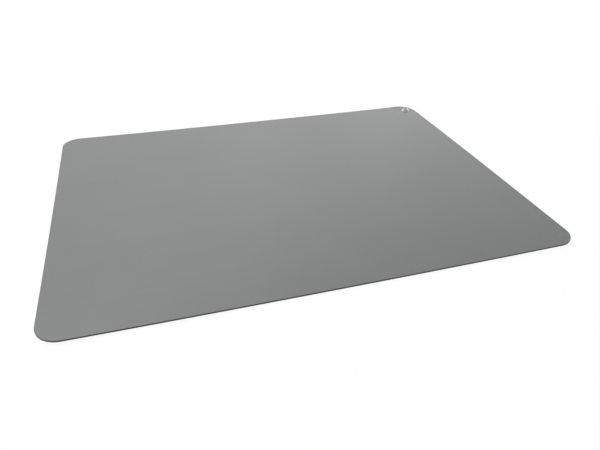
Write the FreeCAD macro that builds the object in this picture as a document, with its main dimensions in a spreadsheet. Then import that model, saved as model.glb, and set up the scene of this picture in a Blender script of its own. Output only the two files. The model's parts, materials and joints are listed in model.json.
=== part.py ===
# Anti-static bench mat with a ground snap.
#
# Two rubber sheets are bonded to each other: a static-dissipative top sheet and a thicker
# conductive base sheet. Near one corner a tubular rivet passes up through both. Its head and a
# washer sit in a seat under the mat, and its rolled end holds a 10 mm snap stud on top.
# The rivet's barrel fills its hole in the base sheet, which is the electrical contact.
#
# Frame: millimetres, +Z up, origin at the centre of the mat's underside, long side along X.

import FreeCAD, Part
import math
import os

import Sketcher

doc = FreeCAD.newDocument("bench_mat")


# ---- driving dimensions -------------------------------------------------------------------

sizes = doc.addObject("Spreadsheet::Sheet", "sizes")

driving_dimensions = [
    # mat
    ("mat_length", 600.0, "long side, along X"),
    ("mat_width", 450.0, "short side, along Y"),
    ("corner_radius", 25.0, "outline radius of the four corners"),
    ("top_thickness", 0.5, "static-dissipative top sheet"),
    ("base_thickness", 1.5, "conductive base sheet"),
    ("edge_round", 0.2, "rounding of the outermost top and bottom edges"),
    # place of the snap
    ("snap_inset_x", 15.5, "snap axis from the short side"),
    ("snap_inset_y", 19.0, "snap axis from the long side"),
    # snap stud
    ("snap_diameter", 10.0, "largest diameter of the head, which the socket grips"),
    ("snap_height", 1.7, "head above the flange at its neck"),
    ("neck_height", 0.35, "narrow part under the head"),
    ("neck_undercut", 0.3, "radial depth of the neck under the head"),
    ("neck_round", 0.1, "rounding between flange and neck"),
    ("mouth_diameter", 7.0, "open top of the head"),
    ("crown_round", 0.5, "outer rounding of the head"),
    ("mouth_round", 0.4, "inner rounding of the head's open top"),
    ("flange_diameter", 14.0, "flange that rests on the mat"),
    ("flange_rim", 0.4, "height of the flange at its rim"),
    ("flange_rise", 0.5, "how much higher the flange is at the neck"),
    ("rim_round", 0.3, "rounding of the flange's rim"),
    ("floor_thickness", 0.6, "floor of the stud, which the rivet clamps"),
    # rivet
    ("rivet_diameter", 4.0, "tubular barrel through the mat"),
    ("rivet_wall", 0.45, "wall of the tubular barrel"),
    ("rivet_head_diameter", 10.5, "flat head under the mat"),
    ("rivet_head_thickness", 0.4, "flat head under the mat"),
    ("rivet_head_round", 0.15, "rounding of the head's lower edge"),
    ("roll_width", 0.7, "how far the rolled end stands out from the barrel"),
    ("roll_height", 0.7, "height of the rolled end above the stud's floor"),
    # washer
    ("washer_diameter", 14.0, "washer between the rivet's head and the base sheet"),
    ("washer_thickness", 0.3, "washer between the rivet's head and the base sheet"),
    # clearances
    ("hole_clearance", 0.1, "radial, around the barrel in top sheet, washer and stud"),
    ("seat_clearance", 0.2, "radial, around the washer in its seat"),
    ("flush_clearance", 0.1, "rivet's head above the mat's underside"),
]

for row, (alias, value, note) in enumerate(driving_dimensions, start=1):
    sizes.set(f"A{row}", alias)
    sizes.set(f"B{row}", str(value))
    sizes.setAlias(f"B{row}", alias)
    sizes.set(f"C{row}", note)
doc.recompute()


# ---- formulas that more than one piece follows --------------------------------------------

mat_thickness = "(sizes.base_thickness + sizes.top_thickness)"
snap_x = "(sizes.mat_length / 2 - sizes.snap_inset_x)"
snap_y = "(sizes.mat_width / 2 - sizes.snap_inset_y)"
barrel_radius = "(sizes.rivet_diameter / 2)"
barrel_hole_radius = f"({barrel_radius} + sizes.hole_clearance)"
seat_depth = "(sizes.flush_clearance + sizes.rivet_head_thickness + sizes.washer_thickness)"


# ---- sketches -----------------------------------------------------------------------------

# point numbers of the Sketcher: ends of a line or arc, centre of a circle or arc
START, END, CENTRE = 1, 2, 3
# geometry numbers of the sketch's own axes, whose start point is the origin
X_AXIS, Y_AXIS = -1, -2
UP = FreeCAD.Vector(0, 0, 1)
SAME = 1e-6


def new_sketch(body, name, plane_role):
    sketch = body.newObject("Sketcher::SketchObject", name)
    planes = [plane for plane in body.Origin.OriginFeatures if plane.Role == plane_role]
    sketch.AttachmentSupport = [(planes[0], "")]
    sketch.MapMode = "FlatFace"
    return sketch


def bound_constraint(sketch, formula, *arguments):
    """Adds a dimension whose value follows a formula of the sheet's sizes."""
    index = sketch.addConstraint(Sketcher.Constraint(*arguments))
    sketch.setExpression(f"Constraints[{index}]", formula)


def add_mat_outline(sketch):
    """Rectangle with round corners, centred on the sketch's origin."""
    x = sizes.get("mat_length") / 2
    y = sizes.get("mat_width") / 2
    r = sizes.get("corner_radius")

    # the sides anticlockwise from the front one, each with the centre of the corner after it
    sides = [
        ((-x + r, -y), (x - r, -y), (x - r, -y + r)),
        ((x, -y + r), (x, y - r), (x - r, y - r)),
        ((x - r, y), (-x + r, y), (-x + r, y - r)),
        ((-x, y - r), (-x, -y + r), (-x + r, -y + r)),
    ]
    lines = []
    arcs = []
    for turn, (start, end, centre) in enumerate(sides):
        side = Part.LineSegment(FreeCAD.Vector(*start), FreeCAD.Vector(*end))
        lines.append(sketch.addGeometry(side))
        circle = Part.Circle(FreeCAD.Vector(*centre), UP, r)
        first, last = math.radians(90 * (turn - 1)), math.radians(90 * turn)
        arcs.append(sketch.addGeometry(Part.ArcOfCircle(circle, first, last)))

    for turn in range(4):
        following = lines[(turn + 1) % 4]
        into_corner = Sketcher.Constraint("Tangent", lines[turn], END, arcs[turn], START)
        out_of_corner = Sketcher.Constraint("Tangent", arcs[turn], END, following, START)
        sketch.addConstraint([into_corner, out_of_corner])
    for line, direction in zip(lines, ("Horizontal", "Vertical", "Horizontal", "Vertical")):
        sketch.addConstraint(Sketcher.Constraint(direction, line))
    for arc in arcs[1:]:
        sketch.addConstraint(Sketcher.Constraint("Equal", arcs[0], arc))
    middle = ("Symmetric", arcs[1], CENTRE, arcs[3], CENTRE, X_AXIS, START)
    sketch.addConstraint(Sketcher.Constraint(*middle))

    front, right, back, left = lines
    length = ("DistanceX", left, START, right, START, 2 * x)
    width = ("DistanceY", front, START, back, START, 2 * y)
    bound_constraint(sketch, "sizes.mat_length", *length)
    bound_constraint(sketch, "sizes.mat_width", *width)
    bound_constraint(sketch, "sizes.corner_radius", "Radius", arcs[0], r)


def add_circle_at_snap(sketch, radius):
    """Circle on the snap's axis, with a formula's radius."""
    circle = sketch.addGeometry(Part.Circle(FreeCAD.Vector(1, 1, 0), UP, 1))
    bound_constraint(sketch, snap_x, "DistanceX", X_AXIS, START, circle, CENTRE, 1)
    bound_constraint(sketch, snap_y, "DistanceY", X_AXIS, START, circle, CENTRE, 1)
    bound_constraint(sketch, radius, "Radius", circle, 1)


def add_half_section(sketch, corners):
    """Closed outline beside the Y axis, whose corners are (radius, height) formulas."""
    count = len(corners)
    # The lines start as a rough loop, and the constraints give each corner its place.
    rough = Part.Circle(FreeCAD.Vector(10, 10, 0), UP, 5)
    spots = [rough.value(2 * math.pi * index / count) for index in range(count)]
    for index in range(count):
        sketch.addGeometry(Part.LineSegment(spots[index], spots[(index + 1) % count]))
    for index, (radius, height) in enumerate(corners):
        before = (index - 1) % count
        sketch.addConstraint(Sketcher.Constraint("Coincident", before, END, index, START))
        if radius == "0":
            sketch.addConstraint(Sketcher.Constraint("PointOnObject", index, START, Y_AXIS))
        else:
            across = ("DistanceX", X_AXIS, START, index, START, spots[index].x)
            bound_constraint(sketch, radius, *across)
        if height == "0":
            sketch.addConstraint(Sketcher.Constraint("PointOnObject", index, START, X_AXIS))
        else:
            upwards = ("DistanceY", X_AXIS, START, index, START, spots[index].y)
            bound_constraint(sketch, height, *upwards)


# ---- features -----------------------------------------------------------------------------


def new_body(label):
    body = doc.addObject("PartDesign::Body", label)
    body.Label = label
    return body


def place(body, x="0", y="0", z="0"):
    body.setExpression("Placement.Base.x", x)
    body.setExpression("Placement.Base.y", y)
    body.setExpression("Placement.Base.z", z)


def pad(body, name, sketch, length):
    feature = body.newObject("PartDesign::Pad", name)
    feature.Profile = sketch
    feature.setExpression("Length", length)


def pocket_upwards(body, name, radius, depth):
    """Round pocket on the snap's axis, from the body's underside up."""
    sketch = new_sketch(body, f"{name}_circle", "XY_Plane")
    add_circle_at_snap(sketch, radius)
    feature = body.newObject("PartDesign::Pocket", name)
    feature.Profile = sketch
    feature.Reversed = True
    feature.setExpression("Length", depth)
    doc.recompute()
    return feature


def turn(body, corners):
    """Revolves an outline of (radius, height) formulas about Z."""
    sketch = new_sketch(body, f"{body.Label}_section", "XZ_Plane")
    add_half_section(sketch, corners)
    feature = body.newObject("PartDesign::Revolution", f"{body.Label}_turned")
    feature.Profile = sketch
    feature.ReferenceAxis = (sketch, ["V_Axis"])
    feature.Angle = 360
    doc.recompute()
    return sketch, feature


def round_edges(body, name, base, edge_numbers, radius):
    feature = body.newObject("PartDesign::Fillet", name)
    feature.Base = (base, [f"Edge{number}" for number in edge_numbers])
    feature.setExpression("Radius", radius)
    doc.recompute()
    return feature


def outline_edges(feature, height):
    """Numbers of the edges of the mat's outline at a height, without those of round holes."""
    found = []
    for number, edge in enumerate(feature.Shape.Edges, start=1):
        box = edge.BoundBox
        level = abs(box.ZMin - height) < SAME and abs(box.ZMax - height) < SAME
        if level and not edge.isClosed():
            found.append(number)
    return found


def ring_edge(feature, sketch, corner):
    """Number of the round edge that an outline's corner makes when it is turned."""
    point = sketch.Geometry[corner].StartPoint
    for number, edge in enumerate(feature.Shape.Edges, start=1):
        if not isinstance(edge.Curve, Part.Circle):
            continue
        same_radius = abs(edge.Curve.Radius - point.x) < SAME
        same_height = abs(edge.Curve.Center.z - point.y) < SAME
        if same_radius and same_height:
            return number
    raise RuntimeError(f"{feature.Label} has no round edge at corner {corner}")


# ---- sheets -------------------------------------------------------------------------------


def make_sheet(label, thickness, hole_radius):
    """One sheet of the mat, with the rivet's hole through it."""
    body = new_body(label)
    outline = new_sketch(body, f"{label}_outline", "XY_Plane")
    add_mat_outline(outline)
    pad(body, f"{label}_pad", outline, thickness)
    return body, pocket_upwards(body, f"{label}_hole", hole_radius, thickness)


def make_base_sheet():
    body, _ = make_sheet("base_sheet", "sizes.base_thickness", barrel_radius)
    seat_radius = "sizes.washer_diameter / 2 + sizes.seat_clearance"
    seat = pocket_upwards(body, "washer_seat", seat_radius, seat_depth)
    round_edges(body, "base_edge_round", seat, outline_edges(seat, 0), "sizes.edge_round")
    return body


def make_top_sheet():
    body, hole = make_sheet("top_sheet", "sizes.top_thickness", barrel_hole_radius)
    upper = outline_edges(hole, sizes.get("top_thickness"))
    round_edges(body, "top_edge_round", hole, upper, "sizes.edge_round")
    place(body, z="sizes.base_thickness")
    return body


# ---- snap ---------------------------------------------------------------------------------


def make_snap_stud():
    """Hollow male snap: a flange, a floor that the rivet clamps, and a head with a neck."""
    body = new_body("snap_stud")
    head_radius = "(sizes.snap_diameter / 2)"
    neck_radius = f"({head_radius} - sizes.neck_undercut)"
    mouth_radius = "(sizes.mouth_diameter / 2)"
    flange_radius = "(sizes.flange_diameter / 2)"
    neck_foot = "(sizes.flange_rim + sizes.flange_rise)"
    head_foot = f"({neck_foot} + sizes.neck_height)"
    crown = f"({neck_foot} + sizes.snap_height)"
    corners = [
        (barrel_hole_radius, "0"),
        (flange_radius, "0"),
        (flange_radius, "sizes.flange_rim"),
        (neck_radius, neck_foot),
        (neck_radius, head_foot),
        (head_radius, f"{head_foot} + sizes.neck_undercut"),
        (head_radius, crown),
        (mouth_radius, crown),
        (mouth_radius, "sizes.floor_thickness"),
        (barrel_hole_radius, "sizes.floor_thickness"),
    ]
    section, solid = turn(body, corners)
    roundings = [("rim_round", 2), ("neck_round", 3), ("crown_round", 6), ("mouth_round", 7)]
    for name, corner in roundings:
        solid = round_edges(body, name, solid, [ring_edge(solid, section, corner)], f"sizes.{name}")
    place(body, snap_x, snap_y, mat_thickness)
    return body


def make_stud_rivet():
    """Tubular rivet, closed at its flat head and rolled outwards on the stud's floor."""
    body = new_body("stud_rivet")
    grip = f"({mat_thickness} + sizes.floor_thickness - sizes.flush_clearance)"
    roll_top = f"({grip} + sizes.roll_height)"
    roll_radius = f"({barrel_radius} + sizes.roll_width)"
    bore_radius = f"({barrel_radius} - sizes.rivet_wall)"
    rivet_head_radius = "(sizes.rivet_head_diameter / 2)"
    corners = [
        ("0", "0"),
        (rivet_head_radius, "0"),
        (rivet_head_radius, "sizes.rivet_head_thickness"),
        (barrel_radius, "sizes.rivet_head_thickness"),
        (barrel_radius, grip),
        (roll_radius, grip),
        (roll_radius, roll_top),
        (bore_radius, roll_top),
        (bore_radius, "sizes.rivet_head_thickness"),
        ("0", "sizes.rivet_head_thickness"),
    ]
    section, solid = turn(body, corners)
    lower = [ring_edge(solid, section, 1)]
    solid = round_edges(body, "head_round", solid, lower, "sizes.rivet_head_round")
    roll = [ring_edge(solid, section, 6), ring_edge(solid, section, 7)]
    round_edges(body, "roll_round", solid, roll, "sizes.roll_height / 2")
    place(body, snap_x, snap_y, "sizes.flush_clearance")
    return body


def make_backing_washer():
    """Flat washer between the rivet's head and the base sheet."""
    body = new_body("backing_washer")
    washer_radius = "(sizes.washer_diameter / 2)"
    corners = [
        (barrel_hole_radius, "0"),
        (washer_radius, "0"),
        (washer_radius, "sizes.washer_thickness"),
        (barrel_hole_radius, "sizes.washer_thickness"),
    ]
    turn(body, corners)
    place(body, snap_x, snap_y, "sizes.flush_clearance + sizes.rivet_head_thickness")
    return body


# ---- build, check and write ---------------------------------------------------------------

bodies = [
    make_base_sheet(),
    make_top_sheet(),
    make_backing_washer(),
    make_stud_rivet(),
    make_snap_stud(),
]
doc.recompute()

for item in doc.Objects:
    if "Invalid" in item.State or "Error" in item.State:
        raise RuntimeError(f"{item.Label} failed: {item.State}")
for body in bodies:
    shape = body.Shape
    if shape.isNull() or not shape.isValid() or len(shape.Solids) != 1:
        raise RuntimeError(f"{body.Label} is not one valid solid")

os.makedirs("parts", exist_ok=True)
for body in bodies:
    body.Shape.exportStep(f"parts/{body.Label}.step")
    box = body.Shape.BoundBox
    print(
        f"{body.Label}: {body.Shape.Volume:.2f} mm3, "
        f"x {box.XMin:.2f} to {box.XMax:.2f}, y {box.YMin:.2f} to {box.YMax:.2f}, "
        f"z {box.ZMin:.2f} to {box.ZMax:.2f}"
    )
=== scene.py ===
import json
import math

import bmesh
import bpy
from mathutils import Matrix, Vector


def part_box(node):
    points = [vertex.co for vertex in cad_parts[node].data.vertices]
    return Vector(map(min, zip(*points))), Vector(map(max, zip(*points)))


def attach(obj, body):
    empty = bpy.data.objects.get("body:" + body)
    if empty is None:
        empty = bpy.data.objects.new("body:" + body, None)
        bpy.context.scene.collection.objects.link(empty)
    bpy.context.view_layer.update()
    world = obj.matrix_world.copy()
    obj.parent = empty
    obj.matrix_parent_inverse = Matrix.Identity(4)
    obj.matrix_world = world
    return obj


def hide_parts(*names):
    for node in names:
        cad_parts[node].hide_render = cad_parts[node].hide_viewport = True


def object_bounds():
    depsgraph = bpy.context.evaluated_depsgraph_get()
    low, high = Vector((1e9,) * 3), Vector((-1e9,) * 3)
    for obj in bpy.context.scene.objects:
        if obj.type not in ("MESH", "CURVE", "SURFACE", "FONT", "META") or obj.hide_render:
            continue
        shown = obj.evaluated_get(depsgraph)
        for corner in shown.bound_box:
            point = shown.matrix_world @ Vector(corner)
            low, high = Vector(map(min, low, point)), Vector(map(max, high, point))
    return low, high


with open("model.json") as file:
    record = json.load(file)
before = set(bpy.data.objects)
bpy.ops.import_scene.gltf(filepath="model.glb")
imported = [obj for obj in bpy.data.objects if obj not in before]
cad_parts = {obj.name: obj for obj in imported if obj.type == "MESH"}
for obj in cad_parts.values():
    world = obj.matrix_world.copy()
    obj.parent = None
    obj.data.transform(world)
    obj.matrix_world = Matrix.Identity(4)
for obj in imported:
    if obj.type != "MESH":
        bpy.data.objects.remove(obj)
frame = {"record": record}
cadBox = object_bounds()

mm = 0.001
groundSnap = next(m for m in frame["record"]["mounts"] if m["name"] == "ground_snap")
snapAxis = Vector((*groundSnap["pos_m"][:2], 0.0))
sideways, lengthways, upwards = Vector((1, 0, 0)), Vector((0, 1, 0)), Vector((0, 0, 1))
mergeDistance = 0.0005 * mm    # points closer than this become one
cutDistance = 0.002 * mm       # a cut this close to a point goes through it
levelDistance = 0.001 * mm     # points this close to a level lie on it
slack = 0.001                  # share by which a reach may be missed
roundingSegments = 5
sharpAngle = math.radians(35)


# shader maths: a Value wraps a socket of a node tree, and its operators add Math nodes
class Value:
    def __init__(self, tree, socket):
        self.tree = tree
        self.socket = socket

    def node(self, kind, settings=None, inputs=None, output=0):
        made = self.tree.nodes.new(kind)
        for name, setting in (settings or {}).items():
            setattr(made, name, setting)
        for name, given in (inputs or {}).items():
            if isinstance(given, Value):
                self.tree.links.new(given.socket, made.inputs[name])
            else:
                made.inputs[name].default_value = given
        return Value(self.tree, made.outputs[output])

    def math(self, operation, first, second=0.0):
        return self.node("ShaderNodeMath", {"operation": operation}, {0: first, 1: second})

    def __add__(self, other):
        return self.math("ADD", self, other)

    def __radd__(self, other):
        return self.math("ADD", other, self)

    def __sub__(self, other):
        return self.math("SUBTRACT", self, other)

    def __rsub__(self, other):
        return self.math("SUBTRACT", other, self)

    def __mul__(self, other):
        return self.math("MULTIPLY", self, other)

    def __rmul__(self, other):
        return self.math("MULTIPLY", other, self)

    def part(self, name):
        return Value(self.tree, self.socket.node.outputs[name])

    def between(self, low, high):
        # 0 below low, 1 above high
        return self.node(
            "ShaderNodeMapRange",
            {"interpolation_type": "SMOOTHSTEP"},
            {"Value": self, "From Min": low, "From Max": high},
        )

    def blend(self, dark, light):
        settings = {"data_type": "RGBA"}
        return self.node("ShaderNodeMix", settings, {0: self, 6: dark, 7: light}, output=2)

    def vector(self, operation, *inputs, output=0):
        return self.node(
            "ShaderNodeVectorMath", {"operation": operation}, dict(enumerate((self, *inputs))), output
        )

    def length(self):
        return self.vector("LENGTH", output="Value")

    def stretched(self, scale):
        inputs = {"Vector": self, "Scale": scale}
        return self.node("ShaderNodeMapping", {"vector_type": "POINT"}, inputs)

    def noise(self, scale, detail=2.0, roughness=0.5):
        inputs = {"Vector": self, "Scale": scale, "Detail": detail, "Roughness": roughness}
        return self.node("ShaderNodeTexNoise", {"noise_dimensions": "3D"}, inputs)


def rgba(colour, factor=1.0):
    return (*[c * factor for c in colour], 1)


def newMaterial(name):
    material = bpy.data.materials.new(name)
    material.use_nodes = True
    tree = material.node_tree
    tree.nodes.clear()
    output = tree.nodes.new("ShaderNodeOutputMaterial")
    places = Value(tree, tree.nodes.new("ShaderNodeTexCoord").outputs["Object"])
    return material, output, places


def finishMaterial(output, places, inputs, height, depth):
    inputs["Normal"] = places.node(
        "ShaderNodeBump", None, {"Height": height, "Strength": 1.0, "Distance": depth}
    )
    shader = places.node("ShaderNodeBsdfPrincipled", None, inputs)
    places.tree.links.new(shader.socket, output.inputs["Surface"])


# top sheet: satin grey rubber with a very fine embossed grain
topRubber = {
    "colour": (0.202, 0.22, 0.2155),
    "toneSpread": 0.035,             # share by which the grey varies
    "toneShares": (0.5, 0.2, 0.3),   # of clouds, streaks and grain
    "cloudScale": 11.0,              # tone clouds per metre
    "streakStretch": (3.0, 160.0, 1.0),
    "grainScale": 1500.0,            # grains per metre
    "grainDepth": 0.012 * mm,
    "roughness": 0.44,
    "roughnessSpread": 0.07,
    "roughnessShares": (0.6, 0.4),   # of grain and clouds
    "ior": 1.45,
}


def makeTopRubber():
    material, output, places = newMaterial("dissipativeRubber")
    look = topRubber
    clouds = places.noise(look["cloudScale"], 3.0)
    streaks = places.stretched(look["streakStretch"]).noise(1.0, 3.0)
    grain = places.noise(look["grainScale"], 1.5)
    cloudShare, streakShare, grainShare = look["toneShares"]
    tone = clouds * cloudShare + streaks * streakShare + grain * grainShare
    dark, light = 1 - look["toneSpread"], 1 + look["toneSpread"]
    grainShare, cloudShare = look["roughnessShares"]
    wear = grain * grainShare + clouds * cloudShare - 0.5
    tone = tone.between(0.3, 0.7)
    inputs = {
        "Base Color": tone.blend(rgba(look["colour"], dark), rgba(look["colour"], light)),
        "Roughness": look["roughness"] + wear * look["roughnessSpread"],
        "IOR": look["ior"],
    }
    finishMaterial(output, places, inputs, grain, look["grainDepth"])
    return material


# die-cut sides: fine lines that the knife leaves, from top to bottom
cutSide = {
    "lineStretch": (2400.0, 2400.0, 150.0),
    "lineDepth": 0.02 * mm,
    "lineShare": 0.6,          # of the tone, and crumbs have the rest
    "crumbScale": 900.0,
    "darkest": 0.86,           # times the rubber's colour
    "lightest": 1.1,
    "roughness": 0.62,
    "roughnessSpread": 0.16,
    "ior": 1.5,
}


def makeCutRubber(name, colour):
    material, output, places = newMaterial(name)
    look = cutSide
    lines = places.stretched(look["lineStretch"]).noise(1.0, 2.0)
    crumbs = places.noise(look["crumbScale"], 3.0)
    tone = (lines * look["lineShare"] + crumbs * (1 - look["lineShare"])).between(0.25, 0.75)
    inputs = {
        "Base Color": tone.blend(rgba(colour, look["darkest"]), rgba(colour, look["lightest"])),
        "Roughness": look["roughness"] + (crumbs - 0.5) * look["roughnessSpread"],
        "IOR": look["ior"],
    }
    finishMaterial(output, places, inputs, lines, look["lineDepth"])
    return material


# base sheet: black rubber whose underside keeps the print of the cloth that it was cured on
baseRubber = {
    "colour": (0.03, 0.031, 0.033),
    # the cut side gets a lighter copy of the black: painted light, standing in for light that the lamps
    # bring too little of to the cut side
    "paintedLightCutColour": (0.044, 0.045, 0.047),
    "toneSpread": 0.2,         # share by which the black varies
    "grainScale": 2200.0,
    "threadPitch": 1.1 * mm,
    "threadDepth": 0.05 * mm,
    "threadShare": 0.75,       # of the relief, and grain has the rest
    "dustColour": (0.12, 0.12, 0.118),
    "dustScale": 18.0,
    "dustShare": 0.22,         # of the colour where the dust is thickest
    "dustRoughness": 0.15,
    "roughness": 0.58,
    "roughnessSpread": 0.1,
    "ior": 1.5,
}


def makeBaseRubber():
    material, output, places = newMaterial("conductiveRubber")
    look = baseRubber
    split = places.node("ShaderNodeSeparateXYZ", None, {"Vector": places})
    turns = 2 * math.pi / look["threadPitch"]
    across = split.math("SINE", split.part("X") * turns)
    along = split.math("SINE", split.part("Y") * turns)
    weave = across * along * 0.5 + 0.5
    grain = places.noise(look["grainScale"], 2.0)
    dust = places.noise(look["dustScale"], 5.0, 0.6).between(0.5, 0.78)
    tone = (weave * 0.5 + grain * 0.5).between(0.2, 0.8)
    dark, light = 1 - look["toneSpread"], 1 + look["toneSpread"]
    rubber = tone.blend(rgba(look["colour"], dark), rgba(look["colour"], light))
    fineGrain = (grain - 0.5) * look["roughnessSpread"]
    inputs = {
        "Base Color": (dust * look["dustShare"]).blend(rubber, rgba(look["dustColour"])),
        "Roughness": look["roughness"] + dust * look["dustRoughness"] + fineGrain,
        "IOR": look["ior"],
    }
    relief = weave * look["threadShare"] + grain * (1 - look["threadShare"])
    finishMaterial(output, places, inputs, relief, look["threadDepth"])
    return material


# snap: nickel plate over turned brass
nickel = {
    "colour": (0.46, 0.457, 0.45),
    "tarnish": (0.27, 0.262, 0.25),
    "ringScale": 5200.0,       # turning marks per metre of radius
    "ringShare": 0.7,          # of the relief, and spots have the rest
    "reliefDepth": 0.0025 * mm,
    "roughness": 0.2,
}

# zinc plate on the steel washer
zinc = {
    "colour": (0.58, 0.6, 0.62),
    "tarnish": (0.42, 0.42, 0.4),
    "ringScale": 2600.0,
    "ringShare": 0.4,
    "reliefDepth": 0.002 * mm,
    "roughness": 0.34,
}

# wear of both metals
metalWear = {
    "spotScale": 700.0,
    "tarnishShare": 0.35,      # of the colour where a spot is dullest
    "scratchStretch": (300.0, 5200.0, 900.0),
    "spotRoughness": 0.12,
    "scratchRoughness": 0.12,
    "ringRoughness": 0.1,
}


def makeMetal(name, look):
    material, output, places = newMaterial(name)
    ringShare = look["ringShare"]
    radius = places.vector("SUBTRACT", tuple(snapAxis)).vector("MULTIPLY", (1, 1, 0)).length()
    rings = radius.node(
        "ShaderNodeTexNoise",
        {"noise_dimensions": "1D"},
        {"W": radius, "Scale": look["ringScale"], "Detail": 3.0},
    )
    spots = places.noise(metalWear["spotScale"], 4.0, 0.6)
    scratches = places.stretched(metalWear["scratchStretch"]).noise(1.0, 2.0).between(0.62, 0.8)
    dull = spots.between(0.42, 0.75)
    worn = dull * metalWear["spotRoughness"] + scratches * metalWear["scratchRoughness"]
    turned = (rings - 0.5) * metalWear["ringRoughness"] * ringShare
    tarnished = dull * metalWear["tarnishShare"]
    inputs = {
        "Base Color": tarnished.blend(rgba(look["colour"]), rgba(look["tarnish"])),
        "Metallic": 1.0,
        "Roughness": look["roughness"] + worn + turned,
    }
    relief = rings * ringShare + spots * (1 - ringShare)
    finishMaterial(output, places, inputs, relief, look["reliefDepth"])
    return material


topMaterial = makeTopRubber()
baseMaterial = makeBaseRubber()
cutTopMaterial = makeCutRubber("cutDissipativeRubber", topRubber["colour"])
# the base's cut side takes the lighter copy of its black, which is painted light
cutBaseMaterial = makeCutRubber("cutConductiveRubberPaintedLight", baseRubber["paintedLightCutColour"])
nickelMaterial = makeMetal("nickelPlate", nickel)
zincMaterial = makeMetal("zincPlate", zinc)
print("materials made")


# turned shapes
def addSection(bm, corners, closed):
    # corners are (radius, height) beside the snap's axis, and a rounding where there is one
    points = [bm.verts.new(snapAxis + Vector((radius, 0, height))) for radius, height, *_ in corners]
    pairs = list(zip(points, points[1:]))
    if closed:
        pairs.append((points[-1], points[0]))
    for pair in pairs:
        bm.edges.new(pair)
    for point, (_, _, *rounding) in zip(points, corners):
        if rounding:
            bmesh.ops.bevel(
                bm,
                geom=[point],
                offset=rounding[0],
                offset_type="OFFSET",
                affect="VERTICES",
                segments=roundingSegments,
                profile=0.5,
                material=-1,
            )


def spinSection(bm, corners, closed, steps, foot=0.0):
    addSection(bm, [(radius, foot + height, *rounding) for radius, height, *rounding in corners], closed)
    bmesh.ops.spin(
        bm,
        geom=bm.verts[:] + bm.edges[:],
        cent=snapAxis,
        axis=upwards,
        angle=2 * math.pi,
        steps=steps,
        use_merge=True,
    )
    bmesh.ops.remove_doubles(bm, verts=bm.verts[:], dist=mergeDistance)


def finishPiece(name, bm, materials, node):
    bmesh.ops.recalc_face_normals(bm, faces=bm.faces[:])
    mesh = bpy.data.meshes.new(name)
    bm.to_mesh(mesh)
    bm.free()
    for material in materials:
        mesh.materials.append(material)
    mesh.shade_smooth()
    mesh.set_sharp_from_angle(angle=sharpAngle)
    piece = bpy.data.objects.new(name, mesh)
    bpy.context.scene.collection.objects.link(piece)
    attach(piece, "root")
    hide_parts(node)
    print(f"{name}: {len(mesh.polygons)} faces")


# the two bonded sheets
sheets = {
    "cornerRadius": 25 * mm,
    "cornerSegments": 20,
    "edgeRound": 0.2 * mm,
    "edgeSegments": 4,
    "jointRound": 0.04 * mm,   # tiny groove where the two sheets meet at the cut side
    "rimBand": 0.9 * mm,       # strip along the outline
    "gridPitch": 15 * mm,
    "patchHalf": 9 * mm,       # square around the snap that is filled with rings
    "patchRing": 8.6 * mm,     # radius of the outermost ring
    "patchCuts": 5,            # grid lines that end at the square
    "closeLines": [3 * mm, 6.5 * mm, 11 * mm, 17 * mm],  # from the square, where the mat bends most
    "ringSteps": 96,
    "topHole": 2.1 * mm,
    "baseHole": 2.0 * mm,
}

# a mat that was stored rolled up lies with its corners slightly off the bench
curl = {
    # side along X and Y, height, and power: a high one lifts the tip alone
    "corners": [
        (-1, 1, 2.5 * mm, 4),
        (-1, -1, 2.2 * mm, 4),
        (1, -1, 2.0 * mm, 4),
        (1, 1, 2.4 * mm, 24),
    ],
    "rightSide": 2.2 * mm,     # middle of the short side that the snap is near
    "flatRadius": 8.6 * mm,    # the snap's plates keep the mat flat between them
    "fadeLength": 17 * mm,
}


def gridLines(low, high, centre):
    # even lines far from the snap, closer ones near it, and those that end at the square
    half, pitch = sheets["patchHalf"], sheets["gridPitch"]
    reach = half + sheets["closeLines"][-1]
    count = round((high - low) / pitch)
    lines = [low + (high - low) * step / count for step in range(1, count)]
    free = [line for line in lines if abs(line - centre) > reach + pitch / 3]
    close = [centre + side * (half + step) for side in (-1, 1) for step in [0] + sheets["closeLines"]]
    margin = sheets["rimBand"] * 1.5
    inside = [line for line in close if low + margin < line < high - margin]
    parts = sheets["patchCuts"] + 1
    ending = [centre - half + 2 * half * step / parts for step in range(1, parts)]
    return free + inside + ending


def inPatch(face):
    return max(abs(c) for c in (face.calc_center_median() - snapAxis).xy) < sheets["patchHalf"]


def gapEdges(bm):
    reach = sheets["patchHalf"] * (1 + slack)
    return [
        edge
        for edge in bm.edges
        if edge.is_boundary
        and max(abs(c) for vert in edge.verts for c in (vert.co - snapAxis).xy) < reach
    ]


def cutAt(bm, faces, axis, distance):
    edges = list(dict.fromkeys(edge for face in faces for edge in face.edges))
    verts = list(dict.fromkeys(vert for face in faces for vert in face.verts))
    bmesh.ops.bisect_plane(
        bm,
        geom=faces + edges + verts,
        dist=cutDistance,
        plane_co=axis * distance,
        plane_no=axis,
    )


def liftAt(place):
    # fades to nothing at the snap
    x, y = place.x / cadBox[1].x, place.y / cadBox[1].y
    lift = curl["rightSide"] * max(x, 0) ** 2 * (1 - y * y)
    for sideX, sideY, height, power in curl["corners"]:
        lift += height * ((1 + sideX * x) * (1 + sideY * y) / 4) ** power
    away = ((place - snapAxis).xy.length - curl["flatRadius"]) / curl["fadeLength"]
    away = min(1, max(0, away))
    return lift * away * away * (3 - 2 * away)


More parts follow.
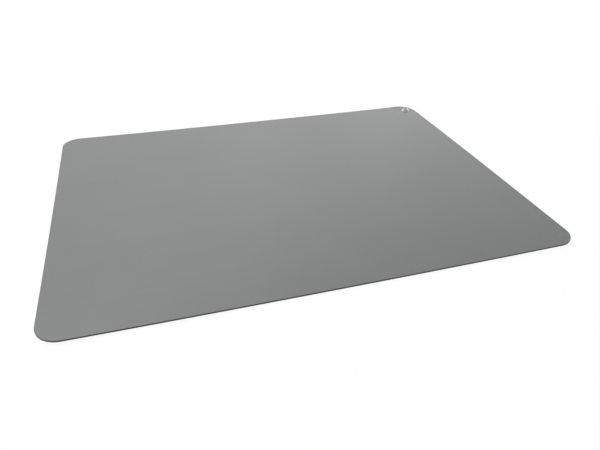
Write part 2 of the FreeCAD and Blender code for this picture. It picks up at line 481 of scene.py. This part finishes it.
def makeSheet(name, materials, corners, visibleTop, node):
    low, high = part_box(node)
    outer, inner = (high.z, low.z) if visibleTop else (low.z, high.z)
    bm = bmesh.new()
    bmesh.ops.create_grid(bm, x_segments=1, y_segments=1, size=0.5)
    size = (high.x - low.x, high.y - low.y, 1)
    bmesh.ops.scale(bm, vec=size, verts=bm.verts[:])
    middle = ((high.x + low.x) / 2, (high.y + low.y) / 2, outer)
    bmesh.ops.translate(bm, vec=middle, verts=bm.verts[:])
    bmesh.ops.bevel(
        bm,
        geom=bm.verts[:],
        offset=sheets["cornerRadius"],
        affect="VERTICES",
        segments=sheets["cornerSegments"],
        profile=0.5,
        material=-1,
    )
    band = sheets["rimBand"]
    rim = bmesh.ops.inset_region(bm, faces=bm.faces[:], thickness=band, use_boundary=True)["faces"]

    # the square around the snap makes room for rings
    half = sheets["patchHalf"]
    for axis in (sideways, lengthways):
        for side in (-1, 1):
            faces = [face for face in bm.faces if face not in rim]
            cutAt(bm, faces, axis, axis.dot(snapAxis) + side * half)
    bmesh.ops.delete(bm, geom=[face for face in bm.faces if inPatch(face)], context="FACES")
    bmesh.ops.subdivide_edges(bm, edges=gapEdges(bm), cuts=sheets["patchCuts"])
    gap = gapEdges(bm)

    # rings with the hole and the shape that the snap presses into the rubber
    rings = bmesh.new()
    spinSection(rings, corners, False, sheets["ringSteps"], foot=outer)
    ringMesh = bpy.data.meshes.new("rings")
    rings.to_mesh(ringMesh)
    rings.free()
    bm.from_mesh(ringMesh)
    bpy.data.meshes.remove(ringMesh)
    nearRing = sheets["patchRing"] * (1 - slack)
    outermost = [
        edge
        for edge in bm.edges
        if edge.is_boundary
        and all(nearRing < (vert.co - snapAxis).xy.length < half for vert in edge.verts)
    ]
    bmesh.ops.triangle_fill(bm, use_beauty=True, edges=gap + outermost, normal=upwards)
    bmesh.ops.remove_doubles(bm, verts=bm.verts[:], dist=mergeDistance)

    # thickness, with the far side flat
    grown = bmesh.ops.extrude_face_region(bm, geom=bm.faces[:])["geom"]
    farVerts = [vert for vert in grown if isinstance(vert, bmesh.types.BMVert)]
    for vert in farVerts:
        vert.co.z = inner
    bmesh.ops.remove_doubles(bm, verts=farVerts, dist=mergeDistance)

    # the cut side's two ends
    for level, offset, segments in (
        (outer, sheets["edgeRound"], sheets["edgeSegments"]),
        (inner, sheets["jointRound"], 1),
    ):
        bmesh.ops.bevel(
            bm,
            geom=[edge for edge in bm.edges if isOutline(edge, level)],
            offset=offset,
            affect="EDGES",
            segments=segments,
            profile=0.5,
            material=-1,
        )

    # the grid comes after the rounding, and lets the mat bend
    for axis, lines in (
        (sideways, gridLines(low.x, high.x, snapAxis.x)),
        (lengthways, gridLines(low.y, high.y, snapAxis.y)),
    ):
        for line in lines:
            cutAt(bm, [face for face in bm.faces if not inPatch(face)], axis, line)

    # the second material is for the cut side
    for face in bm.faces:
        standing = abs(face.normal.z) < 0.5
        nearSnap = (face.calc_center_median() - snapAxis).xy.length < sheets["patchRing"]
        face.material_index = 1 if standing and not nearSnap else 0
    for vert in bm.verts:
        vert.co.z += liftAt(vert.co)
    finishPiece(name, bm, materials, node)


def isOutline(edge, level):
    # an edge of the cut side's upper or lower end
    flat = all(abs(vert.co.z - level) < levelDistance for vert in edge.verts)
    if not flat or len(edge.link_faces) != 2:
        return False
    farFromSnap = all((vert.co - snapAxis).xy.length > sheets["patchHalf"] for vert in edge.verts)
    slopes = sorted(abs(face.normal.z) for face in edge.link_faces)
    return farFromSnap and slopes[0] < 0.5 < slopes[1]


studLow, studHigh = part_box("snap_stud")
flangeRadius = (studHigh.x - studLow.x) / 2

# rubber squeezed up round the stud's flange: (radius, height above the sheet)
topRings = [
    (sheets["topHole"], 0),
    (flangeRadius - 0.4 * mm, 0),
    (flangeRadius, 0),
    (flangeRadius + 0.18 * mm, 0.07 * mm),
    (flangeRadius + 0.45 * mm, 0.1 * mm),
    (flangeRadius + 0.8 * mm, 0.06 * mm),
    (flangeRadius + 1.2 * mm, 0.02 * mm),
    (sheets["patchRing"], 0),
]

# seat of the washer under the mat, with a soft rim: (radius, height above the underside)
baseRings = [
    (sheets["baseHole"], 0.8 * mm),
    (7.2 * mm, 0.8 * mm),
    (7.2 * mm, 0.3 * mm),
    (7.3 * mm, 0.12 * mm),
    (7.5 * mm, 0.03 * mm),
    (7.9 * mm, 0),
    (sheets["patchRing"], 0),
]

makeSheet(
    "topSheet", [topMaterial, cutTopMaterial], topRings, True, "top_sheet"
)
makeSheet(
    "baseSheet", [baseMaterial, cutBaseMaterial], baseRings, False, "base_sheet"
)

# snap stud: heights above the mat
stud = {
    "holeRadius": 2.1 * mm,
    "footRound": 0.08 * mm,
    "rimHeight": 0.4 * mm,
    "rimRound": 0.25 * mm,
    "flangeRise": 0.5 * mm,
    "neckUndercut": 0.3 * mm,
    "neckHeight": 0.35 * mm,
    "neckRound": 0.1 * mm,
    "shoulderRound": 0.08 * mm,
    "bandRound": 0.1 * mm,
    "crownRound": 0.5 * mm,
    "mouthRadius": 3.5 * mm,
    "mouthRound": 0.4 * mm,
    "floor": 0.6 * mm,
    "floorRound": 0.15 * mm,
    "steps": 128,
}


def makeStud():
    head = groundSnap["dims"]["r_mm"] * mm
    neck = head - stud["neckUndercut"]
    foot = stud["rimHeight"] + stud["flangeRise"]
    headFoot = foot + stud["neckHeight"]
    crown = studHigh.z - studLow.z
    mouth = stud["mouthRadius"]
    corners = [
        (stud["holeRadius"], 0),
        (flangeRadius, 0, stud["footRound"]),
        (flangeRadius, stud["rimHeight"], stud["rimRound"]),
        (neck, foot, stud["neckRound"]),
        (neck, headFoot, stud["shoulderRound"]),
        (head, headFoot + stud["neckUndercut"], stud["bandRound"]),
        (head, crown, stud["crownRound"]),
        (mouth, crown, stud["mouthRound"]),
        (mouth, stud["floor"], stud["floorRound"]),
        (stud["holeRadius"], stud["floor"]),
    ]
    bm = bmesh.new()
    spinSection(bm, corners, True, stud["steps"], foot=studLow.z)
    finishPiece("snapStud", bm, [nickelMaterial], "snap_stud")


# tubular rivet: heights above the underside of its head
rivet = {
    "barrelRadius": 2.0 * mm,
    "wall": 0.45 * mm,
    "headThickness": 0.4 * mm,
    "headRound": 0.15 * mm,
    "seatRound": 0.08 * mm,
    "rollRadius": 2.7 * mm,
    "rollHeight": 0.7 * mm,
    "rollFootRound": 0.1 * mm,
    "rollRound": 0.35 * mm,
    "dishRadius": 1.9 * mm,    # shallow dish that the setting tool leaves in the head
    "dishDepth": 0.1 * mm,
    "dishSlope": (0.8, 1.15),  # shares of its radius between which the dish deepens
    "dishRound": 0.2 * mm,
    "folds": 8,                # puckers of the rolled end
    "foldDepth": 0.05 * mm,
    "foldStart": 0.05 * mm,    # above the grip
    "steps": 128,
}


def makeRivet():
    low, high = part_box("stud_rivet")
    headRadius = (high.x - low.x) / 2
    top = high.z - low.z
    grip = top - rivet["rollHeight"]
    bore = rivet["barrelRadius"] - rivet["wall"]
    dishInner, dishOuter = (rivet["dishRadius"] * share for share in rivet["dishSlope"])
    corners = [
        (0, rivet["dishDepth"]),
        (dishInner, rivet["dishDepth"], rivet["dishRound"]),
        (dishOuter, 0, rivet["dishRound"]),
        (headRadius, 0, rivet["headRound"]),
        (headRadius, rivet["headThickness"], rivet["seatRound"]),
        (rivet["barrelRadius"], rivet["headThickness"]),
        (rivet["barrelRadius"], grip),
        (rivet["rollRadius"], grip, rivet["rollFootRound"]),
        (rivet["rollRadius"], top, rivet["rollRound"]),
        (bore, top, rivet["rollRound"]),
        (bore, rivet["headThickness"]),
        (0, rivet["headThickness"]),
    ]
    bm = bmesh.new()
    spinSection(bm, corners, False, rivet["steps"], foot=low.z)
    # the rolled end puckers into shallow folds
    rollWidth = rivet["rollRadius"] - rivet["barrelRadius"]
    foldFoot = low.z + grip + rivet["foldStart"]
    for vert in bm.verts:
        across = (vert.co - snapAxis).xy
        if vert.co.z > foldFoot and across.length > rivet["barrelRadius"]:
            wave = math.cos(rivet["folds"] * math.atan2(across.y, across.x))
            share = (across.length - rivet["barrelRadius"]) / rollWidth
            pull = 1 - rivet["foldDepth"] * share * (0.5 - 0.5 * wave) / across.length
            vert.co.x = snapAxis.x + across.x * pull
            vert.co.y = snapAxis.y + across.y * pull
    finishPiece("studRivet", bm, [nickelMaterial], "stud_rivet")


washer = {"edgeRound": 0.08 * mm, "steps": 96}


def makeWasher():
    low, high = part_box("backing_washer")
    outer = (high.x - low.x) / 2
    hole, edge = stud["holeRadius"], washer["edgeRound"]
    corners = [(hole, low.z), (outer, low.z, edge), (outer, high.z, edge), (hole, high.z)]
    bm = bmesh.new()
    spinSection(bm, corners, True, washer["steps"])
    finishPiece("backingWasher", bm, [zincMaterial], "backing_washer")


makeStud()
makeRivet()
makeWasher()
print("snap made")


# white floor and surround, with a faint shadow of the mat
studio = {
    "skyLevel": 0.25,          # what the surround lights the mat with
    "paperShare": 0.12,        # share of the floor's white that takes shadows
    "paperReach": (0.4, 1.2),  # metres over which that share fades out
    "paperGrey": 0.9,
    "glow": 1.05,              # strength of the floor's own white
    "floorHalf": 6.0,
    "floorDrop": 0.05 * mm,    # below the mat's underside
}


def makeFloor():
    bm = bmesh.new()
    bmesh.ops.create_grid(bm, x_segments=1, y_segments=1, size=studio["floorHalf"])
    bmesh.ops.translate(bm, vec=(0, 0, -studio["floorDrop"]), verts=bm.verts[:])
    mesh = bpy.data.meshes.new("floor")
    bm.to_mesh(mesh)
    bm.free()
    floor = bpy.data.objects.new("floor", mesh)
    bpy.context.scene.collection.objects.link(floor)
    material, output, places = newMaterial("whiteFloor")
    paper = places.node("ShaderNodeBsdfDiffuse", None, {"Color": rgba([studio["paperGrey"]] * 3)})
    glow = {"Color": (1, 1, 1, 1), "Strength": studio["glow"]}
    white = places.node("ShaderNodeEmission", None, glow)
    rays = places.node("ShaderNodeLightPath")
    direct = rays.math("MAXIMUM", rays.part("Is Camera Ray"), rays.part("Is Glossy Ray"))
    paperShare = (1 - places.length().between(*studio["paperReach"])) * studio["paperShare"]
    seen = places.node("ShaderNodeMixShader", None, {0: direct * (1 - paperShare), 1: paper, 2: white})
    clear = places.node("ShaderNodeBsdfTransparent")
    behind = places.node("ShaderNodeNewGeometry", output="Backfacing")
    both = places.node("ShaderNodeMixShader", None, {0: behind, 1: seen, 2: clear})
    places.tree.links.new(both.socket, output.inputs["Surface"])
    mesh.materials.append(material)
    floor.visible_shadow = False


def makeWorld():
    world = bpy.data.worlds.new("studio")
    bpy.context.scene.world = world
    world.use_nodes = True
    tree = world.node_tree
    tree.nodes.clear()
    output = tree.nodes.new("ShaderNodeOutputWorld")
    start = Value(tree, tree.nodes.new("ShaderNodeLightPath").outputs[0])
    direct = start.math("MAXIMUM", start.part("Is Camera Ray"), start.part("Is Glossy Ray"))
    direct = start.math("MAXIMUM", direct, start.part("Is Transmission Ray"))
    level = studio["skyLevel"] + direct * (1 - studio["skyLevel"])
    sky = start.node("ShaderNodeBackground", None, {"Color": (1, 1, 1, 1), "Strength": level})
    tree.links.new(sky.socket, output.inputs["Surface"])


# softboxes around the mat: degrees from the +Y side towards +X, degrees above the bench, watts
lamps = {
    "keySoftbox": (-40, 60, 20.0),
    "backSoftbox": (0, 42, 4.6),
    "lowBackSoftbox": (20, 28, 2.6),
    "rimSoftbox": (40, 15, 2.2),
}
lampDistance = 2.0
lampSize = 1.0


def makeLamps():
    for name, (azimuth, elevation, watts) in lamps.items():
        light = bpy.data.lights.new(name, "AREA")
        light.shape = "SQUARE"
        light.size = lampSize
        light.energy = watts
        turn = Matrix.Rotation(math.radians(-azimuth), 3, "Z")
        tilt = Matrix.Rotation(math.radians(elevation), 3, "X")
        place = turn @ tilt @ Vector((0, lampDistance, 0))
        lamp = bpy.data.objects.new(name, light)
        lamp.location = place
        lamp.rotation_euler = (-place).to_track_quat("-Z", "Y").to_euler()
        lamp.visible_camera = False
        bpy.context.scene.collection.objects.link(lamp)


camera = {
    "place": (-0.16883, -0.61094, 0.36285),
    "right": (0.957128, -0.28927, 0.015132),
    "up": (0.149915, 0.539381, 0.82861),
    "lens": 31.546,
}


def makeCamera():
    data = bpy.data.cameras.new("camera")
    data.sensor_fit = "HORIZONTAL"
    data.sensor_width = 36.0
    data.lens = camera["lens"]
    data.clip_start = 0.01
    eye = bpy.data.objects.new("camera", data)
    right, up = Vector(camera["right"]).normalized(), Vector(camera["up"]).normalized()
    back = right.cross(up)
    turn = Matrix((right, up, back)).transposed().to_4x4()
    eye.matrix_world = Matrix.Translation(camera["place"]) @ turn
    bpy.context.scene.collection.objects.link(eye)
    bpy.context.scene.camera = eye


makeFloor()
makeWorld()
makeLamps()
makeCamera()
bpy.context.scene.view_settings.view_transform = "Standard"
print("studio made")
